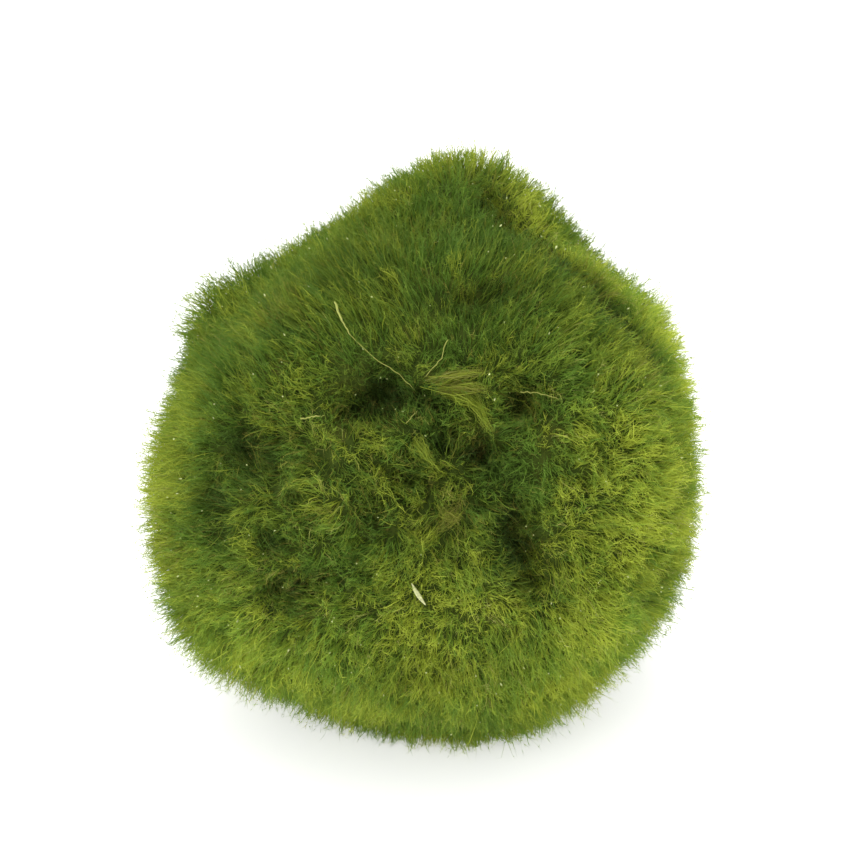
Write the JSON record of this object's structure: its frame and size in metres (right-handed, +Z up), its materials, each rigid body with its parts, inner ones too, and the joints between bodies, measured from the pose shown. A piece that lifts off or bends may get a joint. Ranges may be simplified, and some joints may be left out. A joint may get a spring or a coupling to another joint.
{
  "type": "marimo moss ball",
  "caption": "Round aquarium algae ball with a dense coat of fine green filaments, lumpy and soft, resting on a small flat spot.",
  "frame": {"origin": "middle of the flat spot that the ball rests on", "axes": "+Z up, out of the resting spot; the ball's front faces -Y and +X is to its right"},
  "size_m": [0.0394, 0.0385, 0.039],
  "materials": {
    "moss": "matt, fibrous, damp"
  },
  "bodies": {
    "root": {"moss_ball": "moss"}
  },
  "joints": []
}
